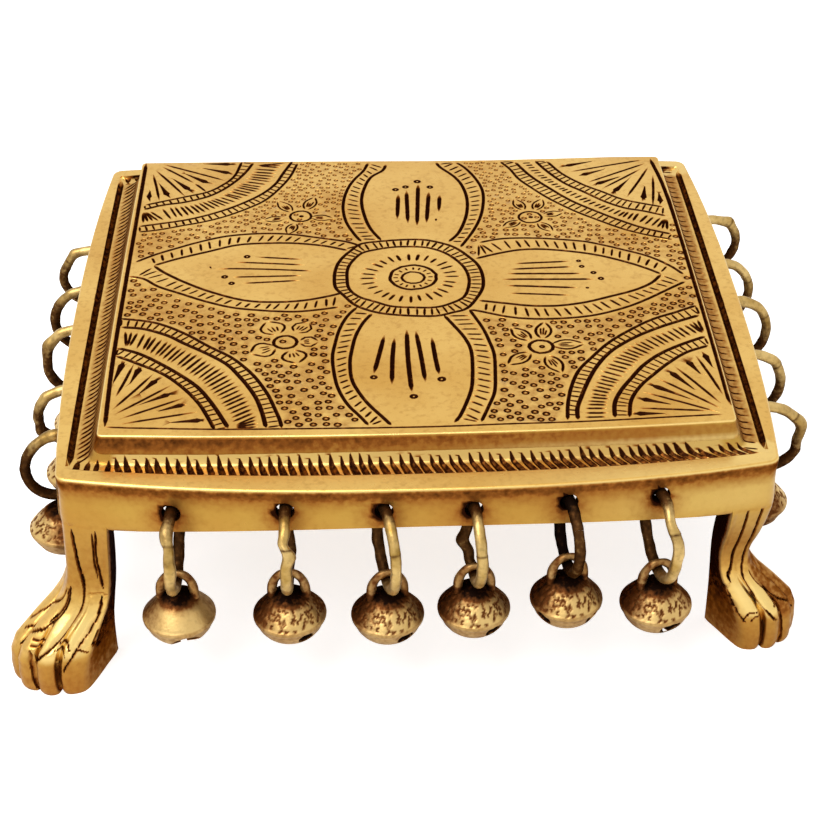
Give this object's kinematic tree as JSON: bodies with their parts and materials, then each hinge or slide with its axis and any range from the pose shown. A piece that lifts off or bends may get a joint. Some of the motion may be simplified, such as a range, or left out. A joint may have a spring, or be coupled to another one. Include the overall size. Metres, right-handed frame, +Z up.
{
  "type": "bajot low table",
  "caption": "Small cast-brass low table with an engraved raised panel, a narrow skirt, four paw feet and slotted ghungroo bells that swing on wire rings along every side.",
  "frame": {"origin": "on the floor under the middle of the table", "axes": "+X to the table's right along the long side, +Y to the back, +Z up"},
  "size_m": [0.1966, 0.1812, 0.0639],
  "materials": {
    "polished_brass": "cast brass, hand engraved and polished, dark brown patina in the cuts",
    "ring_brass": "hand-bent brass wire, dull olive patina",
    "bell_brass": "antique brass, chased crown and smoother bowl, brown patina"
  },
  "bodies": {
    "table": {"table_casting": "polished_brass"},
    "ring_front_1": {"ring_front_1": "ring_brass"},
    "bell_front_1": {"bell_front_1": "bell_brass"},
    "ring_front_2": {"ring_front_2": "ring_brass"},
    "bell_front_2": {"bell_front_2": "bell_brass"},
    "ring_front_3": {"ring_front_3": "ring_brass"},
    "bell_front_3": {"bell_front_3": "bell_brass"},
    "ring_front_4": {"ring_front_4": "ring_brass"},
    "bell_front_4": {"bell_front_4": "bell_brass"},
    "ring_front_5": {"ring_front_5": "ring_brass"},
    "bell_front_5": {"bell_front_5": "bell_brass"},
    "ring_front_6": {"ring_front_6": "ring_brass"},
    "bell_front_6": {"bell_front_6": "bell_brass"},
    "ring_right_1": {"ring_right_1": "ring_brass"},
    "bell_right_1": {"bell_right_1": "bell_brass"},
    "ring_right_2": {"ring_right_2": "ring_brass"},
    "bell_right_2": {"bell_right_2": "bell_brass"},
    "ring_right_3": {"ring_right_3": "ring_brass"},
    "bell_right_3": {"bell_right_3": "bell_brass"},
    "ring_right_4": {"ring_right_4": "ring_brass"},
    "bell_right_4": {"bell_right_4": "bell_brass"},
    "ring_right_5": {"ring_right_5": "ring_brass"},
    "bell_right_5": {"bell_right_5": "bell_brass"},
    "ring_back_1": {"ring_back_1": "ring_brass"},
    "bell_back_1": {"bell_back_1": "bell_brass"},
    "ring_back_2": {"ring_back_2": "ring_brass"},
    "bell_back_2": {"bell_back_2": "bell_brass"},
    "ring_back_3": {"ring_back_3": "ring_brass"},
    "bell_back_3": {"bell_back_3": "bell_brass"},
    "ring_back_4": {"ring_back_4": "ring_brass"},
    "bell_back_4": {"bell_back_4": "bell_brass"},
    "ring_back_5": {"ring_back_5": "ring_brass"},
    "bell_back_5": {"bell_back_5": "bell_brass"},
    "ring_back_6": {"ring_back_6": "ring_brass"},
    "bell_back_6": {"bell_back_6": "bell_brass"},
    "ring_left_1": {"ring_left_1": "ring_brass"},
    "bell_left_1": {"bell_left_1": "bell_brass"},
    "ring_left_2": {"ring_left_2": "ring_brass"},
    "bell_left_2": {"bell_left_2": "bell_brass"},
    "ring_left_3": {"ring_left_3": "ring_brass"},
    "bell_left_3": {"bell_left_3": "bell_brass"},
    "ring_left_4": {"ring_left_4": "ring_brass"},
    "bell_left_4": {"bell_left_4": "bell_brass"},
    "ring_left_5": {"ring_left_5": "ring_brass"},
    "bell_left_5": {"bell_left_5": "bell_brass"}
  },
  "joints": [
    {"name": "swing_ring_front_1", "type": "hinge", "parent": "table", "child": "ring_front_1", "pos_m": [-0.05668, -0.0752, 0.05068], "axis": [-0.0523, -0.9986, 0], "range_deg": [-9.5, 12]},
    {"name": "swing_bell_front_1", "type": "hinge", "parent": "ring_front_1", "child": "bell_front_1", "pos_m": [-0.05679, -0.07744, 0.03403], "axis": [-0.9986, 0.0523, 0], "range_deg": [-25, 25]},
    {"name": "swing_ring_front_2", "type": "hinge", "parent": "table", "child": "ring_front_2", "pos_m": [-0.03086, -0.07751, 0.0523], "axis": [-0.0175, -0.9998, 0], "range_deg": [-12, 9]},
    {"name": "swing_bell_front_2", "type": "hinge", "parent": "ring_front_2", "child": "bell_front_2", "pos_m": [-0.03089, -0.07975, 0.03529], "axis": [-0.9998, 0.0175, 0], "range_deg": [-25, 25]},
    {"name": "swing_ring_front_3", "type": "hinge", "parent": "table", "child": "ring_front_3", "pos_m": [-0.00858, -0.07818, 0.05203], "axis": [0.2079, -0.9781, 0], "range_deg": [-9, 4]},
    {"name": "swing_bell_front_3", "type": "hinge", "parent": "ring_front_3", "child": "bell_front_3", "pos_m": [-0.0081, -0.08042, 0.03484], "axis": [-0.9781, -0.2079, 0], "range_deg": [-25, 25]},
    {"name": "swing_ring_front_4", "type": "hinge", "parent": "table", "child": "ring_front_4", "pos_m": [0.0118, -0.07814, 0.05193], "axis": [0.1219, -0.9925, 0], "range_deg": [-4, 7]},
    {"name": "swing_bell_front_4", "type": "hinge", "parent": "ring_front_4", "child": "bell_front_4", "pos_m": [0.01206, -0.08028, 0.03599], "axis": [-0.9925, -0.1219, 0], "range_deg": [-25, 25]},
    {"name": "swing_ring_front_5", "type": "hinge", "parent": "table", "child": "ring_front_5", "pos_m": [0.03341, -0.07736, 0.05265], "axis": [0.1736, -0.9848, 0], "range_deg": [-7.5, 7]},
    {"name": "swing_bell_front_5", "type": "hinge", "parent": "ring_front_5", "child": "bell_front_5", "pos_m": [0.03378, -0.07945, 0.03742], "axis": [-0.9848, -0.1736, 0], "range_deg": [-25, 25]},
    {"name": "swing_ring_front_6", "type": "hinge", "parent": "table", "child": "ring_front_6", "pos_m": [0.05478, -0.07544, 0.05243], "axis": [0.2079, -0.9781, 0], "range_deg": [-6.5, 12]},
    {"name": "swing_bell_front_6", "type": "hinge", "parent": "ring_front_6", "child": "bell_front_6", "pos_m": [0.05532, -0.07799, 0.03384], "axis": [-0.9781, -0.2079, 0], "range_deg": [-25, 25]},
    {"name": "swing_ring_right_1", "type": "hinge", "parent": "table", "child": "ring_right_1", "pos_m": [0.08329, -0.04042, 0.05092], "axis": [0.9994, -0.0349, 0], "range_deg": [-12, 10.5]},
    {"name": "swing_bell_right_1", "type": "hinge", "parent": "ring_right_1", "child": "bell_right_1", "pos_m": [0.08527, -0.04049, 0.03517], "axis": [-0.0349, -0.9994, 0], "range_deg": [-25, 25]},
    {"name": "swing_ring_right_2", "type": "hinge", "parent": "table", "child": "ring_right_2", "pos_m": [0.08397, -0.01733, 0.05092], "axis": [0.9962, 0.0872, 0], "range_deg": [-10.5, 12]},
    {"name": "swing_bell_right_2", "type": "hinge", "parent": "ring_right_2", "child": "bell_right_2", "pos_m": [0.08679, -0.01708, 0.03569], "axis": [0.0872, -0.9962, 0], "range_deg": [-25, 25]},
    {"name": "swing_ring_right_3", "type": "hinge", "parent": "table", "child": "ring_right_3", "pos_m": [0.08409, 0.00815, 0.05092], "axis": [0.9925, 0.1219, 0], "range_deg": [-12, 4]},
    {"name": "swing_bell_right_3", "type": "hinge", "parent": "ring_right_3", "child": "bell_right_3", "pos_m": [0.08657, 0.00845, 0.03454], "axis": [0.1219, -0.9925, 0], "range_deg": [-25, 25]},
    {"name": "swing_ring_right_4", "type": "hinge", "parent": "table", "child": "ring_right_4", "pos_m": [0.08384, 0.02856, 0.05092], "axis": [0.9986, 0.0523, 0], "range_deg": [-4.5, 10.5]},
    {"name": "swing_bell_right_4", "type": "hinge", "parent": "ring_right_4", "child": "bell_right_4", "pos_m": [0.08628, 0.02869, 0.03597], "axis": [0.0523, -0.9986, 0], "range_deg": [-25, 25]},
    {"name": "swing_ring_right_5", "type": "hinge", "parent": "table", "child": "ring_right_5", "pos_m": [0.08294, 0.05173, 0.05092], "axis": [0.9877, 0.1564, 0], "range_deg": [-11, 5]},
    {"name": "swing_bell_right_5", "type": "hinge", "parent": "ring_right_5", "child": "bell_right_5", "pos_m": [0.08502, 0.05206, 0.03711], "axis": [0.1564, -0.9877, 0], "range_deg": [-25, 25]},
    {"name": "swing_ring_back_1", "type": "hinge", "parent": "table", "child": "ring_back_1", "pos_m": [0.05668, 0.07697, 0.05068], "axis": [0.0523, 0.9986, 0], "range_deg": [-9.5, 12]},
    {"name": "swing_bell_back_1", "type": "hinge", "parent": "ring_back_1", "child": "bell_back_1", "pos_m": [0.05679, 0.0792, 0.03403], "axis": [0.9986, -0.0523, 0], "range_deg": [-25, 25]},
    {"name": "swing_ring_back_2", "type": "hinge", "parent": "table", "child": "ring_back_2", "pos_m": [0.03086, 0.07791, 0.0523], "axis": [0.0175, 0.9998, 0], "range_deg": [-12, 9]},
    {"name": "swing_bell_back_2", "type": "hinge", "parent": "ring_back_2", "child": "bell_back_2", "pos_m": [0.03089, 0.08014, 0.03529], "axis": [0.9998, -0.0175, 0], "range_deg": [-25, 25]},
    {"name": "swing_ring_back_3", "type": "hinge", "parent": "table", "child": "ring_back_3", "pos_m": [0.00858, 0.07818, 0.05203], "axis": [-0.2079, 0.9781, 0], "range_deg": [-9, 4]},
    {"name": "swing_bell_back_3", "type": "hinge", "parent": "ring_back_3", "child": "bell_back_3", "pos_m": [0.0081, 0.08042, 0.03484], "axis": [0.9781, 0.2079, 0], "range_deg": [-25, 25]},
    {"name": "swing_ring_back_4", "type": "hinge", "parent": "table", "child": "ring_back_4", "pos_m": [-0.0118, 0.07816, 0.05193], "axis": [-0.1219, 0.9925, 0], "range_deg": [-4, 7]},
    {"name": "swing_bell_back_4", "type": "hinge", "parent": "ring_back_4", "child": "bell_back_4", "pos_m": [-0.01206, 0.08031, 0.03599], "axis": [0.9925, 0.1219, 0], "range_deg": [-25, 25]},
    {"name": "swing_ring_back_5", "type": "hinge", "parent": "table", "child": "ring_back_5", "pos_m": [-0.03341, 0.07785, 0.05265], "axis": [-0.1736, 0.9848, 0], "range_deg": [-7.5, 7]},
    {"name": "swing_bell_back_5", "type": "hinge", "parent": "ring_back_5", "child": "bell_back_5", "pos_m": [-0.03378, 0.07994, 0.03742], "axis": [0.9848, 0.1736, 0], "range_deg": [-25, 25]},
    {"name": "swing_ring_back_6", "type": "hinge", "parent": "table", "child": "ring_back_6", "pos_m": [-0.05478, 0.07707, 0.05243], "axis": [-0.2079, 0.9781, 0], "range_deg": [-6.5, 12]},
    {"name": "swing_bell_back_6", "type": "hinge", "parent": "ring_back_6", "child": "bell_back_6", "pos_m": [-0.05532, 0.07962, 0.03384], "axis": [0.9781, 0.2079, 0], "range_deg": [-25, 25]},
    {"name": "swing_ring_left_1", "type": "hinge", "parent": "table", "child": "ring_left_1", "pos_m": [-0.08338, 0.04287, 0.05092], "axis": [-0.9962, -0.0872, 0], "range_deg": [-12, 6.5]},
    {"name": "swing_bell_left_1", "type": "hinge", "parent": "ring_left_1", "child": "bell_left_1", "pos_m": [-0.08468, 0.04275, 0.03651], "axis": [-0.0872, 0.9962, 0], "range_deg": [-25, 25]},
    {"name": "swing_ring_left_2", "type": "hinge", "parent": "table", "child": "ring_left_2", "pos_m": [-0.08398, 0.02156, 0.05092], "axis": [-0.9945, -0.1045, 0], "range_deg": [-6.5, 3]},
    {"name": "swing_bell_left_2", "type": "hinge", "parent": "ring_left_2", "child": "bell_left_2", "pos_m": [-0.08555, 0.0214, 0.03543], "axis": [-0.1045, 0.9945, 0], "range_deg": [-25, 25]},
    {"name": "swing_ring_left_3", "type": "hinge", "parent": "table", "child": "ring_left_3", "pos_m": [-0.0841, 0.00197, 0.05092], "axis": [-0.9994, -0.0349, 0], "range_deg": [-2.5, 12]},
    {"name": "swing_bell_left_3", "type": "hinge", "parent": "ring_left_3", "child": "bell_left_3", "pos_m": [-0.08628, 0.00189, 0.03424], "axis": [-0.0349, 0.9994, 0], "range_deg": [-25, 25]},
    {"name": "swing_ring_left_4", "type": "hinge", "parent": "table", "child": "ring_left_4", "pos_m": [-0.08381, -0.02545, 0.05092], "axis": [-0.9877, -0.1564, 0], "range_deg": [-12, 5]},
    {"name": "swing_bell_left_4", "type": "hinge", "parent": "ring_left_4", "child": "bell_left_4", "pos_m": [-0.08463, -0.02558, 0.03823], "axis": [-0.1564, 0.9877, 0], "range_deg": [-25, 25]},
    {"name": "swing_ring_left_5", "type": "hinge", "parent": "table", "child": "ring_left_5", "pos_m": [-0.08305, -0.04527, 0.05092], "axis": [-0.9848, -0.1736, 0], "range_deg": [-4.5, 8.5]},
    {"name": "swing_bell_left_5", "type": "hinge", "parent": "ring_left_5", "child": "bell_left_5", "pos_m": [-0.08651, -0.04588, 0.03645], "axis": [-0.1736, 0.9848, 0], "range_deg": [-25, 25]}
  ]
}
